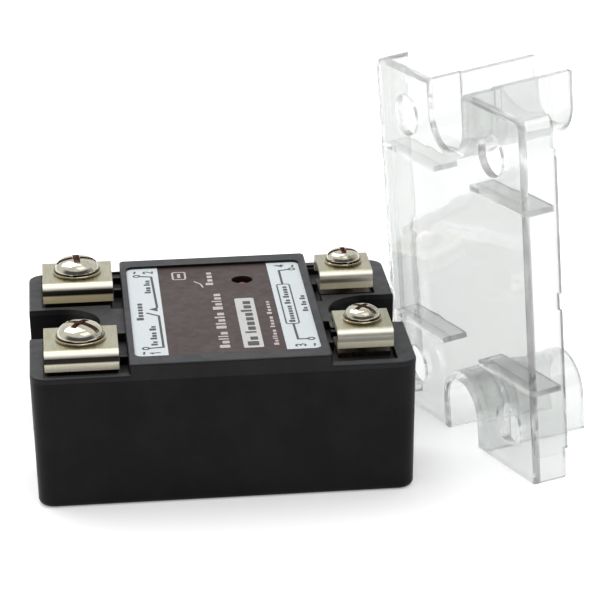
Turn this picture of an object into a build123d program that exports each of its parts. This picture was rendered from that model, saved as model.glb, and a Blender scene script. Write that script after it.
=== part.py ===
from build123d import *
import os
from math import atan, degrees, radians, tan

# Solid state relay of the flat "puck" kind with its clear safety cover beside it.
# Frame: millimetres, +Z up, X along the length, Y across it. The origin is the centre
# of the two mounting holes on the underside of the metal base. Outputs are at -X.

# ---- Driving dimensions of the housing ----
LENGTH = 57.4
WIDTH = 44.8
CORNER_R = 2.5
SEAM_Z = 20.15            # the lid sits on the case here
PLATFORM_Z = 21.0         # lid level round the terminals
BLOCK_Z = 22.7            # raised centre of the lid
BLOCK_X = (-14.05, 16.0)  # the raised centre, longer towards the smaller input terminals
CASE_DRAFT = 0.4          # each case wall leans in this far at its foot
FOOT_FILLET = 0.9
CAVITY = (54.2, 41.6)
FIT_GAP = 0.15            # clearance of parts that drop into the case
HOLE_X = 23.8             # mounting holes, 47.6 apart
HOLE_R = 2.3
NOTCH_R = 6.05            # round-ended notch that lets a screwdriver reach the hole
TOWER_WALL = 1.4
PLATE_T = 3.0

# ---- Lid ----
LID_PLUG_Z = 18.4
LID_SKIN_Z = 19.9         # underside of the lid's centre
SHELF_Z = 20.6            # shallow step round each terminal pocket
POCKET_Z = 19.6           # pocket floor, where the terminal plate lies
BOSS_Z = 16.0             # underside of the bosses that hold the nuts
POCKET_Y = (6.9, 20.2)
STRIP_RIB_T = 0.7
LABEL_FLOOR_Z = 22.1
LABEL_T = 0.2
LABEL_SIZE = (27.9, 38.6)
LABEL_X = 0.85
LED_SPOT = (5.2, 12.2)
LED_R = 1.5

# ---- Circuit levels ----
CERAMIC_T = 1.0
BOARD_Z = 11.0
BOARD_T = 1.6
POTTING_Z = 9.8
BOARD_TOP = BOARD_Z + BOARD_T
DIE_X = -8.0
DIE_Y = 7.0
DIE_T = 0.5
PIN_SPOTS = [(2.0, y) for y in (-9.0, -3.0, 3.0, 9.0)]
PIN_R = 0.4

# ---- Terminals: the output side takes M4 screws, the input side M3 ----
OUTPUT = dict(
    side=-1, x=-20.95, y=14.25, clamp=(11.0, 11.4), sheet=1.0, bend_r=1.3, top=24.1, leg=21.1,
    screw_r=2.0, pitch=0.7, head_r=3.8, head_h=2.5, shank=8.0, nut=(7.0, 2.2),
    plate_x=(-26.2, -15.6), plate_half=4.3, strap_x=(-16.6, -15.6), strap_half=2.5, strap_t=1.0,
    pocket_x=(-26.7, BLOCK_X[0]), floor_x=(-26.5, BLOCK_X[0]), lip=0.45, strip_x=(-15.95, BLOCK_X[0]),
    strip_y=5.3, boss_x=(-26.6, -14.6), boss_y=(8.0, 20.4), floor_y=8.2)
INPUT = dict(
    side=1, x=21.5, y=12.65, clamp=(8.4, 9.6), sheet=0.9, bend_r=1.2, top=24.4, leg=21.6,
    screw_r=1.5, pitch=0.5, head_r=2.95, head_h=2.1, shank=8.0, nut=(5.5, 1.8),
    plate_x=(17.45, 25.4), plate_half=3.4, strap_x=(17.45, 18.15), strap_half=1.8, strap_t=0.7,
    pocket_x=(BLOCK_X[1], 25.9), floor_x=(BLOCK_X[1], 25.9), lip=1.5, strip_x=(BLOCK_X[1], 17.3),
    strip_y=4.4, boss_x=(16.6, 26.6), boss_y=(7.9, 17.6), floor_y=7.9)
# Terminal number: (its size, which side of the centre line it is on).
TERMINALS = {1: (OUTPUT, -1), 2: (OUTPUT, 1), 3: (INPUT, -1), 4: (INPUT, 1)}
SCREW_GAP = 0.08          # running clearance of a screw in its clamp and its nut
SLOT_TURN = {1: -35, 2: 4, 3: -42, 4: 3}   # degrees each screw has been left turned by

# ---- Clear cover, drawn fitted on the relay, then stood on its output end ----
COVER_TOP = 28.6
COVER_WALL = 1.3
COVER_LENGTH = 57.7
COVER_WIDTH = 43.4
FOOT_FLARE = 3.3          # degrees the output end widens downwards, so the stood cover leans
TOP_FLARE = 0.8
SIDE_FLARE = 0.4
COVER_CORNER_R = 1.6
COVER_EDGE_R = 0.8
SIDE_EDGE_Z = 22.75       # lower edge of the side walls, just over the lid's centre
SKIRT_STEP_Z = 22.3
SKIRT_Z = 9.6             # lowest edge of the skirts that drop into the notches
SKIRT_R = 5.7
SKIRT_WALL = 1.2
SKIRT_STEP = 0.45
DRIVER_HOLE_R = 3.3
COVER_RIB_X = (-14.0, 14.5)
COVER_RIB_T = 0.9
COVER_RIB_Z = 23.1
COVER_RIB_Y = 5.4         # free inner end of each rib
COVER_STAND = (38.2, -5.3)   # where the foot of its face stands beside the relay
COVER_YAW = 21.5
COVER_TILT = 0.9          # degrees; it rests on the far corner of its foot


def box(x, y, z):
    """A block between two limits on each axis."""
    centre = [(limits[0] + limits[1]) / 2 for limits in (x, y, z)]
    return Pos(*centre) * Box(x[1] - x[0], y[1] - y[0], z[1] - z[0])


def prism(sketch, low, high):
    """A flat outline raised between two heights."""
    return extrude(Pos(0, 0, low) * sketch, amount=high - low)


def rod(x, y, radius, low, high):
    """An upright cylinder between two heights."""
    return Pos(x, y, (low + high) / 2) * Cylinder(radius, high - low)


def across(side, near, far):
    """The limits on Y of something between two distances from the centre line."""
    return tuple(sorted((side * near, side * far)))


def end_slots(radius):
    """Round-ended slots about both mounting holes, open to the ends."""
    reach = 8.0
    outline = Sketch()
    for side in (-1, 1):
        outline += Pos(side * HOLE_X, 0) * Circle(radius)
        outline += Pos(side * (HOLE_X + reach / 2), 0) * Rectangle(reach, 2 * radius)
    return outline


def make_case():
    """Drafted shell, open above and below, with a walled notch at each end."""
    foot = RectangleRounded(LENGTH - 2 * CASE_DRAFT, WIDTH - 2 * CASE_DRAFT, CORNER_R)
    shell = extrude(foot, amount=SEAM_Z, taper=-degrees(atan(CASE_DRAFT / SEAM_Z)))
    shell = fillet(shell.edges().group_by(Axis.Z)[0], FOOT_FILLET)
    shell -= prism(RectangleRounded(*CAVITY, 1.4), -1, SEAM_Z + 1)
    inside = Rectangle(CAVITY[0] + 0.4, CAVITY[1])
    shell += prism(end_slots(NOTCH_R + TOWER_WALL) & inside, PLATE_T, SEAM_Z)
    shell -= prism(end_slots(NOTCH_R), -1, SEAM_Z + 1)
    post = 1.6
    for x in (-10.8, 24.8):
        for side in (-1, 1):
            y = across(side, CAVITY[1] / 2 - post, CAVITY[1] / 2 + 0.2)
            shell += box((x - post, x + post), y, (PLATE_T, BOARD_Z))
    return shell


def make_base_plate():
    """Metal plate that fills the foot of the case, with tongues under the notches."""
    outline = RectangleRounded(CAVITY[0] - 2 * FIT_GAP, CAVITY[1] - 2 * FIT_GAP, 1.2)
    tongues = end_slots(NOTCH_R - FIT_GAP) & Rectangle(LENGTH - 1.2, 2 * NOTCH_R)
    plate = prism(outline + tongues, 0, PLATE_T)
    for side in (-1, 1):
        plate -= rod(side * HOLE_X, 0, HOLE_R, -1, PLATE_T + 1)
    return plate


def lid_pocket(size, side):
    """Space sunk into the lid round one terminal, with the nut and strap holes below it."""
    outer = across(side, POCKET_Y[0], WIDTH / 2 - size["lip"])
    floor = across(side, size["floor_y"], POCKET_Y[1])
    strip = across(side, size["strip_y"], POCKET_Y[1])
    centre_y = side * size["y"]
    nut_half = size["nut"][0] / 2 + 0.1
    strap = size["strap_half"] + FIT_GAP
    sunk = box(size["pocket_x"], outer, (SHELF_Z, BLOCK_Z + 1))
    sunk += box(size["floor_x"], floor, (POCKET_Z, BLOCK_Z))
    sunk += box(size["strip_x"], strip, (POCKET_Z, BLOCK_Z))
    nut_x = (size["x"] - nut_half, size["x"] + nut_half)
    nut_y = (centre_y - nut_half, centre_y + nut_half)
    sunk += box(nut_x, nut_y, (POCKET_Z - size["nut"][1], POCKET_Z + 0.1))
    sunk += rod(size["x"], centre_y, size["screw_r"] + 0.4, BOSS_Z - 1, POCKET_Z)
    slot_x = (size["strap_x"][0] - 0.1, size["strap_x"][1] + 0.1)
    sunk += box(slot_x, (centre_y - strap, centre_y + strap), (BOSS_Z - 1, POCKET_Z + 0.1))
    return sunk


def make_lid():
    """Lid with a raised centre, sunk terminal pockets and a recess for the label."""
    rim = prism(RectangleRounded(LENGTH, WIDTH, CORNER_R), SEAM_Z, PLATFORM_Z)
    rim = fillet(rim.edges().group_by(Axis.Z)[-1], 0.3)
    raised = box(BLOCK_X, (-WIDTH / 2, WIDTH / 2), (SEAM_Z, BLOCK_Z))
    raised = fillet(raised.edges().filter_by(Axis.Z), 0.7)
    raised = fillet(raised.edges().group_by(Axis.Z)[-1], 0.3)
    plug_outline = RectangleRounded(CAVITY[0] - 2 * FIT_GAP, CAVITY[1] - 2 * FIT_GAP, 1.2)
    plug = prism(plug_outline - end_slots(NOTCH_R + TOWER_WALL + FIT_GAP), LID_PLUG_Z, SEAM_Z)
    plug -= box((-13.2, 15.2), (-18.6, 18.6), (LID_PLUG_Z - 1, SEAM_Z + 1))
    skin = box((-13.4, 15.4), (-18.8, 18.8), (LID_SKIN_Z, SEAM_Z))
    lid = rim + raised + plug + skin
    for size, side in TERMINALS.values():
        lid += box(size["boss_x"], across(side, *size["boss_y"]), (BOSS_Z, POCKET_Z))
    for size, side in TERMINALS.values():
        lid -= lid_pocket(size, side)
        edge = BLOCK_X[0] if size["side"] < 0 else BLOCK_X[1]
        rib_x = tuple(sorted((edge, edge + size["side"] * 1.2)))
        rib_y = (side * size["y"] - STRIP_RIB_T / 2, side * size["y"] + STRIP_RIB_T / 2)
        lid += box(rib_x, rib_y, (POCKET_Z, PLATFORM_Z - 0.1))
    lid -= prism(end_slots(NOTCH_R), SEAM_Z - 1, BLOCK_Z)
    recess = Pos(LABEL_X, 0) * RectangleRounded(*LABEL_SIZE, 1.2)
    lid -= prism(recess, LABEL_FLOOR_Z, BLOCK_Z + 1)
    lid -= rod(*LED_SPOT, LED_R + 0.15, LID_PLUG_Z, BLOCK_Z)
    return lid


def make_label():
    """Printed sheet in the lid's recess, with a window over the lamp."""
    outline = RectangleRounded(LABEL_SIZE[0] - 0.1, LABEL_SIZE[1] - 0.1, 1.15)
    sheet = prism(Pos(LABEL_X, 0) * outline, LABEL_FLOOR_Z, LABEL_FLOOR_Z + LABEL_T)
    return sheet - rod(*LED_SPOT, LED_R + 0.2, LABEL_FLOOR_Z - 1, BLOCK_Z)


def make_clamp(size, side):
    """Saddle clamp: square sheet bent down at its front and back, bored for the screw."""
    along, depth = size["clamp"]
    height = size["top"] - size["leg"]
    sheet = size["sheet"]
    outer = Rectangle(depth, 2 * height)
    outer = fillet(outer.vertices(), size["bend_r"])
    inner = Rectangle(depth - 2 * sheet, 2 * (height - sheet))
    inner = fillet(inner.vertices(), size["bend_r"] - sheet)
    section = (outer - inner) & (Pos(0, height) * Rectangle(2 * depth, 2 * height))
    arch = extrude(Plane.YZ * section, amount=along / 2, both=True)
    arch = Pos(size["x"], side * size["y"], size["leg"]) * arch
    bore = rod(size["x"], side * size["y"], size["screw_r"] + SCREW_GAP, size["leg"], size["top"] + 1)
    return arch - bore


def make_screw(size, side, turn):
    """Pan head screw with a thin flange, a slot and a cross recess, and a ringed shank."""
    shank_r, pitch = size["screw_r"], size["pitch"]
    head_r, head_h = size["head_r"], size["head_h"]
    root_r = shank_r - 0.55 * pitch
    dome_r = head_r - 0.3
    rings = int((size["shank"] - 1.0) / pitch)
    outline = [(0, -size["shank"]), (root_r, -size["shank"])]
    for ring in range(rings):
        low = -size["shank"] + 0.3 + ring * pitch
        outline += [(root_r, low), (shank_r, low + 0.35 * pitch)]
        outline += [(shank_r, low + 0.5 * pitch), (root_r, low + 0.85 * pitch)]
    outline += [(root_r, -0.35), (shank_r, -0.25), (shank_r, 0), (head_r - 0.15, 0), (head_r, 0.15)]
    outline += [(head_r, 0.4), (head_r - 0.1, 0.5), (dome_r, 0.5), (dome_r, 0.75)]
    crown_r = 0.66 * dome_r
    crown_drop = 0.15 * crown_r
    crown_rim = (crown_r, head_h - crown_drop)
    flank = Polyline(*outline)
    shoulder = TangentArc(crown_rim, outline[-1], tangent=(1, -0.307))
    crown = ThreePointArc(crown_rim, (crown_r / 2, head_h - crown_drop / 4), (0, head_h))
    spine = Line((0, head_h), (0, -size["shank"]))
    profile = make_face(Plane.XZ * (flank + shoulder + crown + spine))
    screw = revolve(profile, Axis.Z)
    slot_w = 0.26 * head_r
    slot_z = head_h - 0.4 * head_h
    slot = box((-head_r, head_r), (-slot_w / 2, slot_w / 2), (slot_z, head_h + 1))
    cross = box((-slot_w / 2, slot_w / 2), (-0.5 * head_r, 0.5 * head_r), (slot_z, head_h + 1))
    socket = Pos(0, 0, head_h) * Cone(0.1, 0.44 * head_r, 2 * (head_h - 0.8))
    screw -= slot + cross + (socket & rod(0, 0, 0.44 * head_r, 0.8, head_h + 1))
    return Pos(size["x"], side * size["y"], size["top"]) * Rot(0, 0, turn) * screw


def make_nut(size, side):
    """Square nut lying under the terminal plate."""
    width, thick = size["nut"]
    half = width / 2
    y = side * size["y"]
    nut = box((size["x"] - half, size["x"] + half), (y - half, y + half), (POCKET_Z - thick, POCKET_Z))
    nut = chamfer(nut.edges().filter_by(Axis.Z), 0.3)
    return nut - rod(size["x"], y, size["screw_r"] + SCREW_GAP, POCKET_Z - thick - 1, POCKET_Z + 1)


def make_bar(size, side):
    """Terminal plate with a strap bent down into the case."""
    y = side * size["y"]
    thick, half, strap = size["strap_t"], size["plate_half"], size["strap_half"]
    bar = box(size["plate_x"], (y - half, y + half), (POCKET_Z, POCKET_Z + thick))
    low = PLATE_T + CERAMIC_T if size is OUTPUT else BOARD_Z - 1.2
    bar += box(size["strap_x"], (y - strap, y + strap), (low, POCKET_Z + thick))
    if size is OUTPUT:
        bar += box((size["strap_x"][0], -13.4), (y - strap, y + strap), (low, low + thick))
    return bar - rod(size["x"], y, size["screw_r"] + 0.25, POCKET_Z - 1, POCKET_Z + 2)


def make_substrate():
    """Ceramic plate soldered to the base under the power dies."""
    return box((-16.2, 9.0), (-18.0, 18.0), (PLATE_T, PLATE_T + CERAMIC_T))


def make_dies():
    """The two thyristor dies, one for each half of the wave."""
    low = PLATE_T + CERAMIC_T
    return [box((DIE_X - 4, DIE_X + 4), (y - 4, y + 4), (low, low + DIE_T)) for y in (-DIE_Y, DIE_Y)]


def make_jumpers():
    """Copper clips from each output strap's pad to the top of its die."""
    low = PLATE_T + CERAMIC_T
    clips = []
    for side in (-1, 1):
        y = (side * DIE_Y - 1.5, side * DIE_Y + 1.5)
        clip = box((-13.2, -12.4), across(side, DIE_Y - 1.5, DIE_Y + 5.5), (low, low + 1.5))
        clip += box((-13.2, DIE_X + 1), y, (low + 1.0, low + 1.5))
        clip += box((DIE_X - 2, DIE_X + 1), y, (low + DIE_T, low + 1.5))
        clips.append(clip)
    return clips


def make_pins():
    """Pins that join the power substrate to the circuit board."""
    return [rod(x, y, PIN_R, PLATE_T + CERAMIC_T, BOARD_TOP + 0.8) for x, y in PIN_SPOTS]


def make_board():
    """Circuit board, cut away round the input-end notch."""
    board = box((-12.0, 26.4), (-19.9, 19.9), (BOARD_Z, BOARD_TOP))
    board = fillet(board.edges().filter_by(Axis.Z), 1.0)
    board -= prism(end_slots(NOTCH_R + TOWER_WALL + 0.4), BOARD_Z - 1, BOARD_TOP + 1)
    for x, y in PIN_SPOTS:
        board -= rod(x, y, PIN_R + 0.05, BOARD_Z - 1, BOARD_TOP + 1)
    strap = INPUT["strap_half"] + 0.1
    slot_x = (INPUT["strap_x"][0] - 0.1, INPUT["strap_x"][1] + 0.1)
    for side in (-1, 1):
        y = side * INPUT["y"]
        board -= box(slot_x, (y - strap, y + strap), (BOARD_Z - 1, BOARD_TOP + 1))
    return board


def make_potting(neighbours):
    """Resin poured over the power stage, moulded round everything that it meets."""
    resin = prism(RectangleRounded(*CAVITY, 1.4), PLATE_T, POTTING_Z)
    resin -= prism(end_slots(NOTCH_R + TOWER_WALL), PLATE_T - 1, POTTING_Z + 1)
    for solid in neighbours:
        resin -= solid
    return resin


def axial_part(x, y, length, radius):
    """Round body lying along X with a bent lead at each end."""
    z = BOARD_TOP + radius + 0.2
    lead_r = 0.3
    reach = length / 2 + 1.2
    body = Pos(x, y, z) * Rot(0, 90, 0) * Cylinder(radius, length)
    body = fillet(body.edges(), 0.25 * radius)
    body += Pos(x, y, z) * Rot(0, 90, 0) * Cylinder(lead_r, 2 * reach + 2 * lead_r)
    for end in (-1, 1):
        body += rod(x + end * reach, y, lead_r, BOARD_TOP, z)
    return body


def make_chip(x, y, size, legs):
    """Moulded package with rows of legs on its two long sides."""
    along, deep, high = size
    low = BOARD_TOP + 0.3
    chip = box((x - along / 2, x + along / 2), (y - deep / 2, y + deep / 2), (low, low + high))
    chip = chamfer(chip.edges().group_by(Axis.Z)[-1], 0.3)
    for index in range(legs):
        leg_x = x + (index - (legs - 1) / 2) * along / legs
        for side in (-1, 1):
            mid = y + side * deep / 2
            leg = tuple(sorted((mid, mid + side * 0.9)))
            chip += box((leg_x - 0.3, leg_x + 0.3), leg, (BOARD_TOP, low + high / 2))
    return chip


def make_transistor(x, y):
    """Small upright package with a flat face, on three leads."""
    low = BOARD_TOP + 1.0
    body = rod(x, y, 2.3, low, low + 4.4) - box((x - 3, x + 3), (y - 3, y - 1.5), (low - 1, low + 5))
    for offset in (-1.27, 0, 1.27):
        body += box((x + offset - 0.22, x + offset + 0.22), (y - 0.22, y + 0.22), (BOARD_TOP, low))
    return body


def make_can(x, y):
    """Small round capacitor standing on the board."""
    can = rod(x, y, 2.5, BOARD_TOP, BOARD_TOP + 5.0)
    return fillet(can.edges().group_by(Axis.Z)[-1], 0.4)


def make_led():
    """Indicator lamp under the label window, on two long leads."""
    x, y = LED_SPOT
    base = 17.2
    lamp = rod(x, y, LED_R, base, 20.3) + Pos(x, y, 20.3) * Sphere(LED_R)
    lamp += rod(x, y, LED_R + 0.35, base, base + 0.8)
    for offset in (-1.27 / 2, 1.27 / 2):
        lamp += box((x + offset - 0.22, x + offset + 0.22), (y - 0.22, y + 0.22), (BOARD_TOP, base))
    return lamp


def cover_envelope():
    """Everything the cover may fill: its flared ends and sides, from its face down."""
    drop = COVER_TOP - SKIRT_Z
    output_end, input_end, flank = [tan(radians(a)) * drop for a in (FOOT_FLARE, TOP_FLARE, SIDE_FLARE)]
    along = COVER_LENGTH + output_end + input_end
    rim = RectangleRounded(along, COVER_WIDTH + 2 * flank, COVER_CORNER_R + 0.5)
    face = RectangleRounded(COVER_LENGTH, COVER_WIDTH, COVER_CORNER_R)
    shift = (input_end - output_end) / 2
    solid = loft([Pos(shift, 0, SKIRT_Z) * rim, Pos(0, 0, COVER_TOP) * face], ruled=True)
    return fillet(solid.edges().group_by(Axis.Z)[-1], COVER_EDGE_R)


def make_fitted_cover():
    """One clear moulding: face, two side walls, a skirt at each notch and four ribs."""
    envelope = cover_envelope()
    long_cut = LENGTH + 10
    inner_half = COVER_WIDTH / 2 - COVER_WALL + 0.2
    cap = envelope - box((-long_cut, long_cut), (-WIDTH, WIDTH), (0, SIDE_EDGE_Z))
    cap -= box((-long_cut, long_cut), (-inner_half, inner_half), (0, COVER_TOP - COVER_WALL))
    upper_r = SKIRT_R + SKIRT_STEP
    skirt = prism(end_slots(SKIRT_R), SKIRT_Z, SKIRT_STEP_Z)
    skirt += prism(end_slots(upper_r), SKIRT_STEP_Z, COVER_TOP)
    bore = prism(end_slots(SKIRT_R - SKIRT_WALL), SKIRT_Z - 1, SKIRT_STEP_Z + SKIRT_WALL)
    bore += prism(end_slots(upper_r - SKIRT_WALL), SKIRT_STEP_Z + SKIRT_WALL / 2, COVER_TOP + 1)
    cover = cap + (skirt & envelope) - bore
    for x in COVER_RIB_X:
        rib_x = (x - COVER_RIB_T / 2, x + COVER_RIB_T / 2)
        for side in (-1, 1):
            rib_y = across(side, COVER_RIB_Y, inner_half + 0.3)
            cover += box(rib_x, rib_y, (COVER_RIB_Z, COVER_TOP - COVER_WALL + 0.3))
    for size, side in TERMINALS.values():
        cover -= rod(size["x"], side * size["y"], DRIVER_HOLE_R, COVER_TOP - 3, COVER_TOP + 1)
    notch = 0.4
    cover -= box((-1.3, 1.3), (-WIDTH, WIDTH), (SIDE_EDGE_Z - 1, SIDE_EDGE_Z + notch))
    for side in (-1, 1):
        tip = tuple(sorted((side * (LENGTH / 2 - 5), side * long_cut)))
        for flank in (-1, 1):
            edge = across(flank, inner_half - 1, WIDTH)
            cover -= box(tip, edge, (SIDE_EDGE_Z - 1, SIDE_EDGE_Z + notch))
    return cover


def stand_cover(cover):
    """Turn the fitted cover on to its output end, leaning as its flared edges let it."""
    footed = Rot(0, 0, COVER_TILT) * Pos(COVER_LENGTH / 2, 0, -COVER_TOP) * cover
    upright = Rot(0, 0, COVER_YAW) * Rot(0, -90 - FOOT_FLARE, 0) * footed
    return Pos(*COVER_STAND, -upright.bounding_box().min.Z) * upright


def write(name, shape):
    """Write one node; a list is a group of separate solids."""
    body = Compound(children=list(shape)) if isinstance(shape, list) else shape
    export_step(body, f"parts/{name}.step")


def main():
    os.makedirs("parts", exist_ok=True)
    case = make_case()
    bars = {number: make_bar(size, side) for number, (size, side) in TERMINALS.items()}
    power = [make_substrate()] + make_dies() + make_jumpers() + make_pins()
    write("case", case)
    write("base_plate", make_base_plate())
    write("top_lid", make_lid())
    write("label", make_label())
    write("ceramic_substrate", make_substrate())
    write("thyristor_dies", make_dies())
    write("die_jumpers", make_jumpers())
    write("gate_pins", make_pins())
    write("potting", make_potting([case] + power + list(bars.values())))
    write("circuit_board", make_board())
    write("optocoupler", make_chip(-4.0, 0.0, (7.3, 6.4, 3.4), 3))
    write("bridge_rectifier", make_chip(9.0, -4.0, (8.2, 6.0, 2.8), 2))
    write("gate_resistors", [axial_part(-5.5, y, 6.0, 1.1) for y in (-7.2, -10.4)])
    write("input_resistors", [axial_part(5.0, y, 9.0, 1.6) for y in (-13.2, -17.0)])
    write("snubber_resistor", axial_part(-5.5, 8.2, 9.0, 1.6))
    write("snubber_capacitor", fillet(box((-11.2, 1.4), (12.2, 17.2), (BOARD_TOP, 18.0)).edges(), 0.4))
    write("input_capacitor", make_can(12.2, 14.2))
    write("drive_transistor", make_transistor(11.0, 5.0))
    write("led", make_led())
    for number, (size, side) in TERMINALS.items():
        write(f"terminal_bar_{number}", bars[number])
        write(f"terminal_nut_{number}", make_nut(size, side))
        write(f"clamp_{number}", make_clamp(size, side))
        write(f"terminal_screw_{number}", make_screw(size, side, SLOT_TURN[number]))
    write("clear_cover", stand_cover(make_fitted_cover()))


main()
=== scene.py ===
from math import cos, pi, radians, sin

import bpy
from mathutils import Matrix, Vector


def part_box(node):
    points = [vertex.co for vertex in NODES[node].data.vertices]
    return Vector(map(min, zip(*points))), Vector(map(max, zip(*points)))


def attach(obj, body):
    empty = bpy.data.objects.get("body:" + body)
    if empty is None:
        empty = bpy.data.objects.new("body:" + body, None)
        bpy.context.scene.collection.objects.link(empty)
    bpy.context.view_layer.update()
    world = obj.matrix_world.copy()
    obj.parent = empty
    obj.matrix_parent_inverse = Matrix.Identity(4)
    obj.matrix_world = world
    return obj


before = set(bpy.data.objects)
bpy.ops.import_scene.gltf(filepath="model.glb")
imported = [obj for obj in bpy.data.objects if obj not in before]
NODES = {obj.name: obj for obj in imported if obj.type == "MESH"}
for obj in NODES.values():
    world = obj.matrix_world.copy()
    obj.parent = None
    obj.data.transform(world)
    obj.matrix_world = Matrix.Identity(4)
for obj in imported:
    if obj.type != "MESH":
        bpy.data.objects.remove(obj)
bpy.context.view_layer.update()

# Solid state relay with its clear cover: looks, printed label, floor, light and camera.
# Everything is in metres, in the frame of the model: X along the relay, Y away, Z up.
MM = 0.001
SCENE = bpy.context.scene

LABEL_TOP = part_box("label")[1][2] / MM
INK_T = 0.03                       # mm, height of the printed marks over the sheet
LEFT_STRIP_X = -8.05               # pale ends of the label, each side of its brown middle
RIGHT_STRIP_X = 9.6

CAMERA_AT = (-21.8, -375.7, 167.1)                 # mm
CAMERA_DOWN, CAMERA_YAW, CAMERA_ROLL = radians(20.90), radians(5.34), radians(-0.84)
CAMERA_LENS = 155.94               # mm, on a sensor 36 mm wide
STUDIO_LEVEL = 0.98                # brightness of the surroundings
BAND_DEPTH = 0.88                  # how much darker their low front band is, 0 to 1
FLOOR_GLOW = 0.28                  # keeps the paper floor white under the shadows
FLOOR_HALF = 3.0                   # metres from the middle of the floor to its edge

# How brown each clamp's legs are from stain, and how dark the painted reflection band under its bend is,
# 0 to 1.
CLAMP_STAIN_AND_PAINTED_BAND = {1: (0.1, 0.98), 2: (0.85, 0.95), 3: (0.15, 0.6), 4: (0.35, 0.2)}

# Screw number: (axis x, axis y, seat z, head radius, head height), in mm.
SCREWS = {}
for number in (1, 2, 3, 4):
    low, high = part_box(f"terminal_screw_{number}")
    clamp_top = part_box(f"clamp_{number}")[1][2]
    SCREWS[number] = ((low[0] + high[0]) / 2 / MM, (low[1] + high[1]) / 2 / MM, clamp_top / MM,
                      (high[0] - low[0]) / 2 / MM, (high[2] - clamp_top) / MM)


# ---- Camera ----
def make_camera():
    data = bpy.data.cameras.new("camera")
    data.sensor_width = 36.0
    data.lens = CAMERA_LENS
    data.clip_start = 0.01
    data.clip_end = 20.0
    camera = bpy.data.objects.new("camera", data)
    SCENE.collection.objects.link(camera)
    flat = cos(CAMERA_DOWN)
    forward = Vector((sin(CAMERA_YAW) * flat, cos(CAMERA_YAW) * flat, -sin(CAMERA_DOWN)))
    level = forward.cross(Vector((0, 0, 1))).normalized()
    raised = level.cross(forward)
    right = level * cos(CAMERA_ROLL) + raised * sin(CAMERA_ROLL)
    upward = right.cross(forward)
    turn = Matrix((right, upward, -forward)).transposed()
    camera.matrix_world = Matrix.Translation(Vector(CAMERA_AT) * MM) @ turn.to_4x4()
    SCENE.camera = camera


# ---- Node helpers ----
class Nodes:
    """Adds nodes to one tree; each helper gives back the socket that holds its result."""
    def __init__(self, tree):
        self.tree = tree

    def node(self, kind):
        return self.tree.nodes.new("ShaderNode" + kind)

    def link(self, source, target):
        self.tree.links.new(source, target)

    def put(self, socket, value):
        if hasattr(value, "is_linked"):
            self.link(value, socket)
        else:
            socket.default_value = value

    def vector(self, operation, a, b=(0, 0, 0)):
        node = self.node("VectorMath")
        node.operation = operation
        self.put(node.inputs[0], a)
        self.put(node.inputs[1], b)
        return node.outputs["Value"] if operation in ("LENGTH", "DOT_PRODUCT") else node.outputs["Vector"]

    def math(self, operation, a, b=0.0):
        node = self.node("Math")
        node.operation = operation
        self.put(node.inputs[0], a)
        self.put(node.inputs[1], b)
        return node.outputs[0]

    def times(self, a, b):
        return self.math("MULTIPLY", a, b)

    def part_of(self, vector, index):
        node = self.node("SeparateXYZ")
        self.link(vector, node.inputs[0])
        return node.outputs[index]

    def span(self, value, low, high, to_low=0.0, to_high=1.0):
        """The value's stretch from low to high, laid smoothly over to_low to to_high."""
        node = self.node("MapRange")
        node.interpolation_type = "SMOOTHSTEP"
        for socket, entry in zip(node.inputs, (value, low, high, to_low, to_high)):
            self.put(socket, entry)
        return node.outputs["Result"]


class Mat(Nodes):
    """A material on the Principled shader, with every texture laid out in millimetres of the object."""
    def __init__(self, name):
        self.material = bpy.data.materials.new(name)
        self.material.use_nodes = True
        super().__init__(self.material.node_tree)
        self.shader = self.tree.nodes["Principled BSDF"]
        self.mm = self.vector("MULTIPLY", self.node("TexCoord").outputs["Object"], (1000, 1000, 1000))

    def set(self, **values):
        """Values of the shader's own sockets, by name with _ for a space."""
        for name, value in values.items():
            if isinstance(value, tuple):
                value = (*value, 1)
            self.put(self.shader.inputs[name.replace("_", " ")], value)
        return self

    def stretched(self, scale):
        return self.vector("MULTIPLY", self.mm, scale)

    def axis(self, index):
        return self.part_of(self.mm, index)

    def noise(self, scale, detail=2.0, rough=0.5, where=None, distortion=0.0):
        node = self.node("TexNoise")
        self.link(where or self.mm, node.inputs["Vector"])
        node.inputs["Scale"].default_value = scale
        node.inputs["Detail"].default_value = detail
        node.inputs["Roughness"].default_value = rough
        node.inputs["Distortion"].default_value = distortion
        return node.outputs["Fac"]

    def cells(self, scale):
        node = self.node("TexVoronoi")
        self.link(self.mm, node.inputs["Vector"])
        node.inputs["Scale"].default_value = scale
        return node.outputs["Distance"]

    def mix(self, factor, a, b):
        node = self.node("Mix")
        node.data_type = "RGBA"
        self.put(node.inputs[0], factor)
        for socket, value in ((node.inputs[6], a), (node.inputs[7], b)):
            self.put(socket, (*value, 1) if isinstance(value, tuple) else value)
        return node.outputs[2]

    def bump(self, height, strength, depth_mm, under=None):
        node = self.node("Bump")
        node.inputs["Strength"].default_value = strength
        node.inputs["Distance"].default_value = depth_mm * MM
        self.link(height, node.inputs["Height"])
        if under:
            self.link(under, node.inputs["Normal"])
        return node.outputs["Normal"]


def assign(obj, mat):
    obj.data.materials.clear()
    obj.data.materials.append(mat.material)


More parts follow.
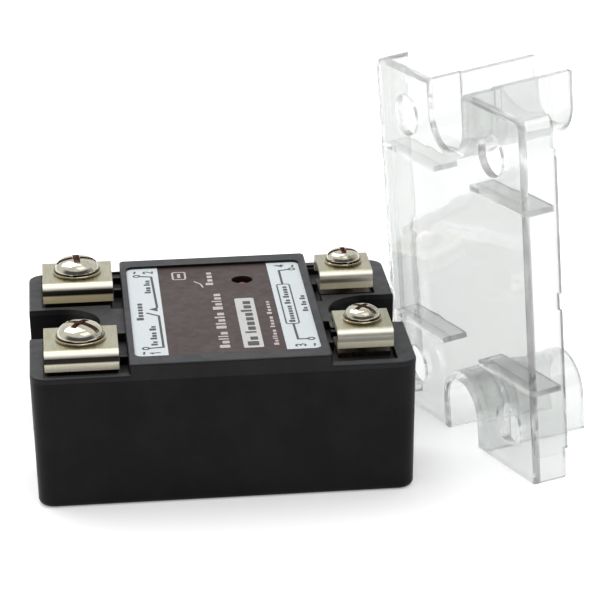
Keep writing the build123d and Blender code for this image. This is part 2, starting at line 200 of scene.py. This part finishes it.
# ---- Plastics ----
def moulded(name, dark, light, rough, gloss, grain, depth, top=None):
    """Spark-eroded moulded plastic: fine grain, cloudy shade, faint rubbed marks.
    top is a lighter colour painted on the upward faces: a painted sheen of the light that falls on them."""
    mat = Mat(name)
    cloud = mat.noise(0.12, 3.0, 0.6)
    speck = mat.noise(2.6, 2.0, 0.7)
    shade = mat.mix(mat.span(cloud, 0.35, 0.65), dark, light)
    if top:
        facing = mat.node("NewGeometry").outputs["Normal"]
        upward = mat.vector("DOT_PRODUCT", facing, (0, 0, 1))
        # painted highlight: upward faces get the lighter top colour, standing in for the light that falls
        # on them
        painted_top_light = mat.mix(cloud, tuple(v * 0.85 for v in top), top)
        shade = mat.mix(mat.span(upward, 0.35, 0.9), shade, painted_top_light)
    pale_speck = tuple(v * 2.2 + 0.004 for v in light)
    shade = mat.mix(mat.span(speck, 0.66, 0.8, 0.0, 0.35), shade, pale_speck)
    rub = mat.noise(0.5, 4.0, 0.6, mat.stretched((1.0, 1.0, 0.22)), 0.4)
    dull = mat.span(rub, 0.35, 0.7, rough - 0.05, rough + 0.07)
    scratch = mat.noise(1.4, 2.0, 0.5, mat.stretched((6.0, 0.3, 0.9)), 1.2)
    fine = mat.bump(mat.noise(grain, 2.0, 0.6), 0.5, depth)
    normal = mat.bump(mat.span(scratch, 0.68, 0.74), 0.25, 0.01, fine)
    return mat.set(Base_Color=shade, Roughness=dull, Specular_IOR_Level=gloss, Normal=normal)


def lacquer(name, dark, light, rough, coat=0.3):
    """Dipped or cast resin with an uneven skin."""
    mat = Mat(name)
    tone = mat.mix(mat.span(mat.noise(0.6, 3.0, 0.6), 0.3, 0.7), dark, light)
    dull = mat.span(mat.noise(1.5, 2.0, 0.5), 0.3, 0.7, rough - 0.06, rough + 0.08)
    normal = mat.bump(mat.noise(1.1, 2.0, 0.5), 0.35, 0.05)
    return mat.set(Base_Color=tone, Roughness=dull, Coat_Weight=coat, Normal=normal)


def board_mask():
    """Solder mask over copper tracks, with the weave of the laminate faintly below."""
    mat = Mat("solder_mask")
    tracks = mat.span(mat.cells(0.55), 0.42, 0.46)
    tone = mat.mix(tracks, (0.012, 0.075, 0.03), (0.03, 0.15, 0.06))
    weave = mat.noise(5.0, 1.0, 0.5)
    normal = mat.bump(mat.math("ADD", tracks, mat.times(weave, 0.3)), 0.4, 0.03)
    return mat.set(Base_Color=tone, Roughness=0.32, Coat_Weight=0.4, Normal=normal)


def clear_plastic():
    """Clear moulding, faintly grey, with slow flow marks and a few fine specks."""
    mat = Mat("clear_plastic")
    flow = mat.noise(0.07, 2.0, 0.4, distortion=1.6)
    ripple = mat.noise(0.45, 1.0, 0.4)
    marks = mat.math("ADD", flow, mat.times(ripple, 0.12))
    specks = mat.span(mat.cells(0.32), 0.0, 0.055, 1.0, 0.0)
    normal = mat.bump(specks, 0.4, 0.02, mat.bump(marks, 0.14, 0.4))
    haze = mat.span(mat.noise(0.25, 4.0, 0.65), 0.45, 0.8, 0.012, 0.07)
    mat.set(Base_Color=(0.685, 0.70, 0.69), Roughness=haze, Normal=normal, Alpha=0.85)
    mat.set(Transmission_Weight=1.0, IOR=1.49)
    lets_through = mat.node("BsdfTransparent")
    lets_through.inputs["Color"].default_value = (0.86, 0.87, 0.87, 1)
    path = mat.node("LightPath")
    blend = mat.node("MixShader")
    mat.link(path.outputs["Is Shadow Ray"], blend.inputs[0])
    mat.link(mat.shader.outputs[0], blend.inputs[1])
    mat.link(lets_through.outputs[0], blend.inputs[2])
    mat.link(blend.outputs[0], mat.tree.nodes["Material Output"].inputs["Surface"])
    return mat


# ---- Metals ----
def clamp_metal(name, number):
    """Warm nickel plate: dull top, a painted highlight along the bend, a painted dark reflection band
    under it, and legs painted pale as a painted reflection, with real brown stain on them.
    """
    top_z = SCREWS[number][2]
    stain, painted_band_depth = CLAMP_STAIN_AND_PAINTED_BAND[number]
    mat = Mat(name)
    brush = mat.noise(1.0, 3.0, 0.65, mat.stretched((5.0, 0.35, 0.35)))
    cloud = mat.noise(0.35, 3.0, 0.6)
    below = mat.math("SUBTRACT", top_z, mat.axis(2))
    tone = mat.mix(mat.span(brush, 0.3, 0.7), (0.35, 0.34, 0.245), (0.45, 0.435, 0.325))
    tone = mat.mix(mat.span(cloud, 0.5, 0.75, 0.0, 0.5), tone, (0.31, 0.285, 0.18))
    # painted highlight: the bend just below the top face gets a near-white colour
    tone = mat.mix(mat.span(below, 0.02, 0.3), tone, (0.86, 0.83, 0.72))
    # painted reflection: the legs get a pale, less metallic colour standing in for the bright floor they
    # mirror; the brown film over it is real stain
    leg = mat.span(below, 1.6, 1.95)
    leg_painted_reflection = mat.mix(mat.span(brush, 0.35, 0.65), (0.92, 0.86, 0.66), (0.98, 0.94, 0.77))
    film = mat.times(mat.span(brush, 0.25, 0.6, 0.6, 1.0), stain)
    tone = mat.mix(leg, tone, mat.mix(film, leg_painted_reflection, (0.92, 0.76, 0.41)))
    # painted reflection: a dark band under the bend stands in for the dark surroundings that the curved
    # metal mirrors
    painted_band = mat.times(mat.span(below, 0.8, 1.0), mat.span(below, 1.65, 1.95, 1.0, 0.0))
    tone = mat.mix(mat.times(painted_band, painted_band_depth), tone, (0.008, 0.006, 0.003))
    dull = mat.span(mat.math("ADD", brush, mat.times(cloud, 0.5)), 0.5, 1.0, 0.3, 0.4)
    pits = mat.noise(3.5, 2.0, 0.5)
    normal = mat.bump(mat.span(pits, 0.6, 0.75), 0.08, 0.006, mat.bump(brush, 0.08, 0.01))
    # less metal on the legs belongs to their painted reflection
    shine = mat.math("SUBTRACT", 1.0, mat.times(leg, 0.75))
    return mat.set(Base_Color=tone, Metallic=shine, Roughness=dull, Normal=normal)


def screw_metal(name, number):
    """Bright nickel plate with turned rings on the head, a rusty film in the recess, and a painted shadow
    ring low on the head.
    """
    x, y, seat, radius, rise = SCREWS[number]
    mat = Mat(name)
    away = mat.vector("LENGTH", mat.vector("SUBTRACT", mat.stretched((1, 1, 0)), (x, y, 0)))
    share = mat.math("DIVIDE", away, radius)
    height = mat.math("SUBTRACT", mat.axis(2), seat)
    dome = mat.math("SUBTRACT", rise, mat.times(mat.math("POWER", share, 4.0), rise * 0.95))
    sunk = mat.span(mat.math("SUBTRACT", dome, height), 0.12, 0.5)
    middle = mat.span(share, 0.36, 0.6, 1.0, 0.12)
    film = mat.times(mat.times(sunk, middle), mat.span(mat.noise(1.2, 3.0, 0.7), 0.3, 0.5))
    film = mat.times(film, mat.span(height, 0.3, 0.6))
    cloud = mat.noise(0.8, 3.0, 0.6)
    tone = mat.mix(mat.span(cloud, 0.4, 0.7), (0.56, 0.535, 0.45), (0.45, 0.42, 0.33))
    skirt = mat.span(height, 0.2, 0.75, 0.65, 0.0)
    tone = mat.mix(skirt, tone, (0.52, 0.40, 0.23))
    # painted shadow: a dark ring low on the head stands in for the shade under its rim
    step = mat.times(mat.span(height, 0.42, 0.5), mat.span(height, 0.62, 0.8, 0.85, 0.0))
    tone = mat.mix(step, tone, (0.05, 0.035, 0.02))
    tone = mat.mix(film, tone, (0.16, 0.035, 0.018))
    dull = mat.math("ADD", mat.span(cloud, 0.4, 0.75, 0.045, 0.11), mat.times(film, 0.3))
    shine = mat.math("SUBTRACT", 1.0, mat.times(film, 0.75))
    rings = mat.noise(1.0, 1.0, 0.5, mat.stretched((0.4, 0.4, 0.4)))
    turned = mat.math("SINE", mat.math("ADD", mat.times(away, 26.0), mat.times(rings, 3.0)))
    normal = mat.bump(mat.noise(1.1, 2.0, 0.5), 0.14, 0.03, mat.bump(turned, 0.1, 0.003))
    return mat.set(Base_Color=tone, Metallic=shine, Roughness=dull, Normal=normal)


def plain_metal(name, dark, light, rough, grain=(1.0, 1.0, 1.0)):
    """Plated, rolled or milled metal with directional grain."""
    mat = Mat(name)
    brush = mat.noise(1.2, 3.0, 0.6, mat.stretched(grain))
    tone = mat.mix(mat.span(brush, 0.3, 0.7), dark, light)
    dull = mat.span(brush, 0.3, 0.7, rough - 0.07, rough + 0.1)
    return mat.set(Base_Color=tone, Metallic=1.0, Roughness=dull, Normal=mat.bump(brush, 0.35, 0.02))


# ---- Label, lamp and internals ----
def label_print():
    """Coated sheet: brown-grey middle, bluish white ends, fine print grain."""
    mat = Mat("label_print")
    along = mat.axis(0)
    grain = mat.noise(4.0, 2.0, 0.7)
    cloud = mat.noise(0.15, 2.0, 0.5)
    brown = mat.mix(mat.span(cloud, 0.35, 0.65), (0.030, 0.0135, 0.012), (0.040, 0.0215, 0.0195))
    brown = mat.mix(mat.span(grain, 0.4, 0.8, 0.0, 0.35), brown, (0.060, 0.039, 0.036))
    white = mat.mix(mat.span(grain, 0.3, 0.8), (0.56, 0.61, 0.63), (0.64, 0.68, 0.695))
    left = mat.math("LESS_THAN", along, LEFT_STRIP_X)
    right = mat.math("GREATER_THAN", along, RIGHT_STRIP_X)
    tone = mat.mix(mat.math("ADD", left, right), brown, white)
    dull = mat.span(mat.noise(0.7, 3.0, 0.6), 0.3, 0.7, 0.36, 0.48)
    normal = mat.bump(grain, 0.25, 0.008)
    return mat.set(Base_Color=tone, Roughness=dull, Specular_IOR_Level=0.25, Normal=normal)


def ink(name, dark, light):
    """Screen-printed ink with a fine grain."""
    mat = Mat(name)
    grain = mat.noise(5.0, 2.0, 0.6)
    tone = mat.mix(mat.span(grain, 0.35, 0.75), dark, light)
    return mat.set(Base_Color=tone, Roughness=0.4, Normal=mat.bump(grain, 0.2, 0.006))


def lamp_resin():
    """Deep red clear resin of the indicator lamp."""
    mat = Mat("lamp_resin")
    cloud = mat.noise(0.9, 2.0, 0.5)
    tone = mat.mix(mat.span(cloud, 0.3, 0.7), (0.12, 0.012, 0.008), (0.22, 0.022, 0.015))
    dull = mat.span(cloud, 0.3, 0.7, 0.08, 0.2)
    normal = mat.bump(mat.noise(2.0, 1.0, 0.5), 0.1, 0.01)
    return mat.set(Base_Color=tone, Roughness=dull, Coat_Weight=0.5, Normal=normal)


def resistor_lacquer():
    """Cream lacquer with brown rings along the resistor."""
    mat = Mat("resistor_lacquer")
    wave = mat.math("FRACT", mat.times(mat.axis(0), 0.45))
    ring = mat.times(mat.math("GREATER_THAN", wave, 0.35), mat.math("LESS_THAN", wave, 0.6))
    tone = mat.mix(mat.noise(1.5), (0.55, 0.42, 0.24), (0.44, 0.336, 0.192))
    tone = mat.mix(ring, tone, (0.16, 0.05, 0.02))
    dull = mat.span(mat.noise(2.0), 0.3, 0.7, 0.2, 0.34)
    normal = mat.bump(mat.noise(1.5), 0.3, 0.04)
    return mat.set(Base_Color=tone, Roughness=dull, Coat_Weight=0.3, Normal=normal)


def inside_looks():
    """Looks of the pieces inside the relay, by node name."""
    chip = moulded("epoxy_moulding", (0.02, 0.02, 0.021), (0.035, 0.035, 0.036), 0.55, 0.4, 6.0, 0.02)
    resistor = resistor_lacquer()
    return {
        "base_plate": plain_metal("milled_plate", (0.58, 0.58, 0.57), (0.78, 0.78, 0.77), 0.33,
                                  (0.4, 9, 9)),
        "ceramic_substrate": lacquer("fired_ceramic", (0.74, 0.72, 0.68), (0.84, 0.83, 0.79), 0.5, 0.0),
        "thyristor_dies": lacquer("diced_silicon", (0.05, 0.05, 0.06), (0.10, 0.10, 0.12), 0.18, 0.2),
        "die_jumpers": plain_metal("soft_copper", (0.62, 0.30, 0.18), (0.80, 0.46, 0.30), 0.28,
                                   (5, 1, 1)),
        "gate_pins": plain_metal("tinned_wire", (0.55, 0.54, 0.52), (0.78, 0.77, 0.74), 0.25, (1, 1, 6)),
        "potting": lacquer("poured_resin", (0.50, 0.50, 0.46), (0.64, 0.64, 0.59), 0.42, 0.1),
        "circuit_board": board_mask(),
        "optocoupler": chip,
        "bridge_rectifier": chip,
        "drive_transistor": chip,
        "gate_resistors": resistor,
        "input_resistors": resistor,
        "snubber_resistor": resistor,
        "snubber_capacitor": lacquer("dipped_epoxy", (0.40, 0.06, 0.03), (0.58, 0.11, 0.06), 0.25),
        "input_capacitor": plain_metal("can_aluminium", (0.58, 0.59, 0.61), (0.76, 0.77, 0.79), 0.3,
                                       (1, 1, 5)),
    }


def outside_looks():
    """Looks of the shells, the label and the cover, by node name."""
    return {
        "case": moulded("case_plastic", (0.0045, 0.0045, 0.0048), (0.0075, 0.0075, 0.0078),
                        0.4, 0.11, 5.5, 0.012),
        # its last colour is a painted lighter shade for the lid's upward faces, standing in for the light
        # on them
        "top_lid": moulded("lid_plastic", (0.0062, 0.0062, 0.0068), (0.0095, 0.0095, 0.0102),
                           0.45, 0.2, 7.0, 0.02, (0.0315, 0.0325, 0.0355)),
        "label": label_print(),
        "clear_cover": clear_plastic(),
        "led": lamp_resin(),
    }


def terminal_looks():
    """Looks of the bars, nuts, clamps and screws of the four terminals, by node name."""
    # painted shade: the bars get a near-black colour standing in for the shade of the pocket they sit in;
    # they are plated metal like the clamps
    bars = plain_metal("bar_painted_shade", (0.07, 0.055, 0.04), (0.14, 0.115, 0.085), 0.45, (6, 0.5, 0.5))
    zinc = plain_metal("zinc_plate", (0.50, 0.50, 0.48), (0.70, 0.70, 0.67), 0.34)
    looks = {}
    for number in SCREWS:
        looks[f"terminal_bar_{number}"] = bars
        looks[f"terminal_nut_{number}"] = zinc
        looks[f"clamp_{number}"] = clamp_metal(f"clamp_plate_{number}", number)
        looks[f"terminal_screw_{number}"] = screw_metal(f"screw_plate_{number}", number)
    return looks


def paint_nodes():
    for looks in (inside_looks(), outside_looks(), terminal_looks()):
        for name, mat in looks.items():
            assign(NODES[name], mat)


# ---- Print on the label: thin raised marks, each a closed prism ----
# Places are (x, y) in mm; x and y are those of the relay.
class Print:
    """Collects the marks of one ink, and makes them into one piece that rides on the relay."""
    def __init__(self, name, mat, base=0.0):
        self.name, self.mat = name, mat
        self.verts, self.faces = [], []
        self.low = LABEL_TOP - 0.005 + base
        self.high = LABEL_TOP + INK_T + base

    def strip(self, left, right, closed=False):
        """A band between two rails of points, closed into a solid."""
        count, start = len(left), len(self.verts)
        for z in (self.low, self.high):
            for rail in (left, right):
                self.verts += [(x * MM, y * MM, z * MM) for x, y in rail]
        ll, lr, hl, hr = (start + k * count for k in range(4))
        steps = count if closed else count - 1
        for i in range(steps):
            j = (i + 1) % count
            self.faces += [(hl + i, hr + i, hr + j, hl + j), (ll + i, ll + j, lr + j, lr + i)]
            self.faces += [(ll + i, hl + i, hl + j, ll + j), (lr + i, lr + j, hr + j, hr + i)]
        if not closed:
            end = count - 1
            self.faces += [(ll, lr, hr, hl), (ll + end, hl + end, hr + end, lr + end)]

    def plate(self, points):
        """A filled outline."""
        count, start = len(points), len(self.verts)
        for z in (self.low, self.high):
            self.verts += [(x * MM, y * MM, z * MM) for x, y in points]
        self.faces.append(tuple(start + count + i for i in range(count)))
        self.faces.append(tuple(start + i for i in reversed(range(count))))
        for i in range(count):
            j = (i + 1) % count
            self.faces.append((start + i, start + j, start + count + j, start + count + i))

    def block(self, x0, x1, y0, y1, corner=0.12):
        corner = min(corner, (x1 - x0) / 2.01, (y1 - y0) / 2.01)
        self.plate(rounded(x0, x1, y0, y1, corner))

    def frame(self, x0, x1, y0, y1, corner, width):
        inner = rounded(x0 + width, x1 - width, y0 + width, y1 - width, corner - width)
        self.strip(rounded(x0, x1, y0, y1, corner), inner, closed=True)

    def ring(self, x, y, radius, width):
        turns = [2 * pi * k / 24 for k in range(24)]
        outer = [(x + radius * cos(t), y + radius * sin(t)) for t in turns]
        inner = [(x + (radius - width) * cos(t), y + (radius - width) * sin(t)) for t in turns]
        self.strip(outer, inner, closed=True)

    def stroke(self, points, width):
        """A line of even width with mitred corners."""
        path = [Vector(p) for p in points]
        left, right = [], []
        for i, here in enumerate(path):
            before = (here - path[i - 1]).normalized() if i else (path[1] - here).normalized()
            after = (path[i + 1] - here).normalized() if i < len(path) - 1 else before
            side = (Vector((-before.y, before.x)) + Vector((-after.y, after.x))).normalized()
            reach = width / 2 / max(0.5, side.dot(Vector((-after.y, after.x))))
            left.append(tuple(here + side * reach))
            right.append(tuple(here - side * reach))
        self.strip(left, right)

    def sign(self, key, x, y):
        """A numeral or wave whose foot corner is at x, y; it reads along +Y, its top to -X."""
        size, width = (WAVE_SIZE, WAVE_W) if key == "wave" else (DIGIT_SIZE, DIGIT_W)
        self.stroke([(x - v * size, y + u * size) for u, v in GLYPHS[key]], width)

    def words(self, x, y0, y1, height, groups):
        """Plain blocks of two heights in place of words, with a gap after each group."""
        units = sum(sum(group) + GAP * len(group) for group in groups) + SPACE * (len(groups) - 1)
        scale = (y1 - y0) / units
        y, foot = y0, x + height / 2
        for group in groups:
            for index, size in enumerate(group):
                far = y + size * scale
                top = foot - height * (1.0 if index == 0 or size < 0.7 else 0.68)
                self.block(top, foot, y, far)
                y = far + GAP * scale
            y += SPACE * scale

    def finish(self):
        mesh = bpy.data.meshes.new(self.name)
        mesh.from_pydata(self.verts, [], self.faces)
        mesh.update()
        obj = bpy.data.objects.new(self.name, mesh)
        SCENE.collection.objects.link(obj)
        assign(obj, self.mat)
        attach(obj, "relay")
        return obj


RING_R, RING_W = 0.6, 0.27         # the terminal rings, mm
LINE_W = 0.36                      # the circuit lines, mm
DIGIT_SIZE, DIGIT_W = 1.45, 0.27   # terminal numbers: height and stroke, mm
WAVE_SIZE, WAVE_W = 1.15, 0.24     # wave signs, mm
GAP = 0.5                          # between blocks, as a share of a block's unit width
SPACE = 0.8                        # extra between groups
GLYPHS = {
    "1": [(0.08, 0.74), (0.34, 1.0), (0.34, 0.0)],
    "2": [(0.0, 0.78), (0.1, 0.94), (0.3, 1.0), (0.5, 0.93), (0.57, 0.74), (0.48, 0.52),
          (0.02, 0.02), (0.62, 0.02)],
    "3": [(0.0, 0.9), (0.2, 1.0), (0.44, 0.97), (0.55, 0.78), (0.44, 0.58), (0.22, 0.53), (0.46, 0.48),
          (0.6, 0.26), (0.46, 0.04), (0.2, 0.0), (0.0, 0.1)],
    "4": [(0.46, 0.0), (0.46, 1.0), (0.0, 0.3), (0.66, 0.3)],
    "wave": [(0.0, 0.4), (0.1, 0.54), (0.24, 0.56), (0.38, 0.46), (0.52, 0.38), (0.66, 0.42),
             (0.76, 0.56)],
}


def rounded(x0, x1, y0, y1, corner):
    """Outline of a rectangle with round corners, anticlockwise."""
    points = []
    for index, (cx, cy) in enumerate(((x1, y1), (x0, y1), (x0, y0), (x1, y0))):
        mid_x = cx - corner if cx == x1 else cx + corner
        mid_y = cy - corner if cy == y1 else cy + corner
        for step in range(5):
            turn = pi / 2 * (index + step / 4)
            points.append((mid_x + corner * cos(turn), mid_y + corner * sin(turn)))
    return points


def print_output_side(dark):
    """Two rings at the terminals, and a line between them with a switch in it."""
    art = Print("print_output_diagram", dark)
    art.ring(-11.5, 15.9, RING_R, RING_W)
    art.ring(-11.3, -15.3, RING_R, RING_W)
    art.stroke([(-11.05, 15.75), (-9.15, 15.3), (-8.85, 1.5)], LINE_W)
    art.stroke([(-10.6, -0.6), (-8.75, -2.1), (-8.65, -15.1), (-10.85, -15.3)], LINE_W)
    art.plate([(-8.8, 1.6), (-10.1, 0.9), (-8.85, -0.1)])
    art.finish()

    art = Print("print_output_marks", dark)
    art.sign("wave", -11.2, 17.1)
    art.sign("2", -8.9, 16.9)
    art.sign("wave", -11.1, -17.6)
    art.sign("1", -9.2, -17.7)
    art.words(-10.0, 8.0, 14.0, 1.0, [(1, 1, 1.4), (1, 0.8, 1)])
    art.words(-11.65, -3.6, 4.0, 1.1, [(1.2, 1, 1, 0.9, 1.1, 1)])
    art.words(-9.95, -14.2, -6.0, 1.0, [(1, 0.9), (1, 1.2, 1), (1.3, 0.9)])
    art.finish()


def print_input_side(dark):
    """A line from each terminal's ring to a box in the middle."""
    art = Print("print_input_diagram", dark)
    art.ring(13.5, 15.95, RING_R, RING_W)
    art.ring(13.6, -14.5, RING_R, RING_W)
    art.stroke([(13.0, 15.85), (11.4, 15.5), (11.4, 9.3)], LINE_W)
    art.stroke([(11.5, -8.0), (11.6, -14.45), (13.15, -14.5)], LINE_W)
    art.frame(10.35, 12.55, -8.15, 9.3, 0.55, 0.22)
    art.finish()

    art = Print("print_input_marks", dark)
    art.sign("4", 12.4, 17.2)
    art.sign("wave", 14.3, 16.9)
    art.sign("3", 12.5, -17.4)
    art.sign("wave", 14.4, -17.4)
    art.words(11.45, -7.3, 8.5, 0.95, [(1.1, 1, 0.9, 1, 1, 0.8, 1), (1, 1), (1, 0.9, 1, 1.2, 1)])
    art.words(13.9, -3.0, 4.2, 0.85, [(1, 1), (0.9, 1), (1, 1)])
    art.finish()


def print_middle(dark):
    """Blocks for the title, a pale plate with dark blocks, and a small frame mark at the rear."""
    pale = ink("ink_white", (0.40, 0.35, 0.34), (0.56, 0.50, 0.48))
    art = Print("print_title", pale)
    title = [(1.1, 1, 0.45, 0.45, 1), (1.1, 0.6, 0.9, 0.6, 1), (1.2, 0.9, 0.45, 0.9, 1)]
    art.words(0.5, -16.6, 6.8, 1.55, title)
    art.words(8.25, -16.4, 2.4, 0.75, [(1, 0.9, 0.5, 0.5, 0.9, 1), (0.7, 1, 1, 1.1), (1, 1, 1, 0.8, 0.8)])
    art.frame(-5.9, -3.6, 13.3, 16.9, 0.5, 0.3)
    art.stroke([(-4.75, 14.2), (-4.75, 16.0)], 0.5)
    art.words(-0.1, 10.3, 16.6, 1.2, [(1, 1, 1.1, 0.9)])
    art.stroke([(-2.5, 12.3), (-1.5, 10.9), (-1.2, 9.4)], 0.28)
    art.finish()

    plate_ink = ink("ink_plate", (0.47, 0.465, 0.455), (0.54, 0.535, 0.525))
    art = Print("print_code_plate", plate_ink)
    art.block(3.3, 6.3, -17.0, 3.8, 0.35)
    art.finish()
    art = Print("print_code_blocks", dark, INK_T)
    art.words(4.8, -16.2, 3.0, 1.7, [(1.3, 1), (0.45, 1.1, 1.1, 1, 1, 0.6, 1, 1)])
    art.finish()


def print_label():
    dark = ink("ink_black", (0.012, 0.012, 0.014), (0.03, 0.03, 0.032))
    print_output_side(dark)
    print_input_side(dark)
    print_middle(dark)


# ---- Stage ----
def make_floor():
    mesh = bpy.data.meshes.new("floor")
    half = FLOOR_HALF
    corners = [(-half, -half, 0), (half, -half, 0), (half, half, 0), (-half, half, 0)]
    mesh.from_pydata(corners, [], [(0, 1, 2, 3)])
    floor = bpy.data.objects.new("floor", mesh)
    SCENE.collection.objects.link(floor)
    mat = Mat("floor_paper").set(Base_Color=(0.9, 0.9, 0.9), Roughness=0.85, Specular_IOR_Level=0.2)
    mat.set(Emission_Color=(1, 1, 1), Emission_Strength=FLOOR_GLOW)
    assign(floor, mat)


def area_light(name, place, target, size, power):
    data = bpy.data.lights.new(name, "AREA")
    data.shape = "SQUARE"
    data.size = size
    data.energy = power
    light = bpy.data.objects.new(name, data)
    SCENE.collection.objects.link(light)
    light.location = place
    light.rotation_mode = "QUATERNION"
    light.rotation_quaternion = (Vector(target) - Vector(place)).to_track_quat("-Z", "Y")


def make_lights():
    area_light("key", (-0.22, 0.30, 0.62), (0, 0, 0.01), 0.55, 2.1)
    area_light("fill", (0.25, -0.25, 0.8), (0, 0, 0), 0.5, 0.7)


def make_world():
    """Bright studio with a dark band low down on the camera's side, for the metal to mirror."""
    world = bpy.data.worlds.new("studio")
    SCENE.world = world
    world.use_nodes = True
    nodes = Nodes(world.node_tree)
    toward = nodes.node("TexCoord").outputs["Generated"]
    up = nodes.part_of(toward, 2)
    front = nodes.span(nodes.part_of(toward, 1), -0.55, 0.1, 1.0, 0.0)
    low = nodes.times(nodes.span(up, 0.0, 0.06), nodes.span(up, 0.48, 0.68, 1.0, 0.0))
    level = nodes.math("SUBTRACT", 1.0, nodes.times(nodes.times(front, low), BAND_DEPTH))
    background = nodes.tree.nodes["Background"]
    nodes.link(nodes.times(level, STUDIO_LEVEL), background.inputs["Strength"])
    background.inputs["Color"].default_value = (1, 1, 1, 1)


SCENE.view_settings.view_transform = "Standard"
make_camera()
make_floor()
make_lights()
make_world()
paint_nodes()
print_label()
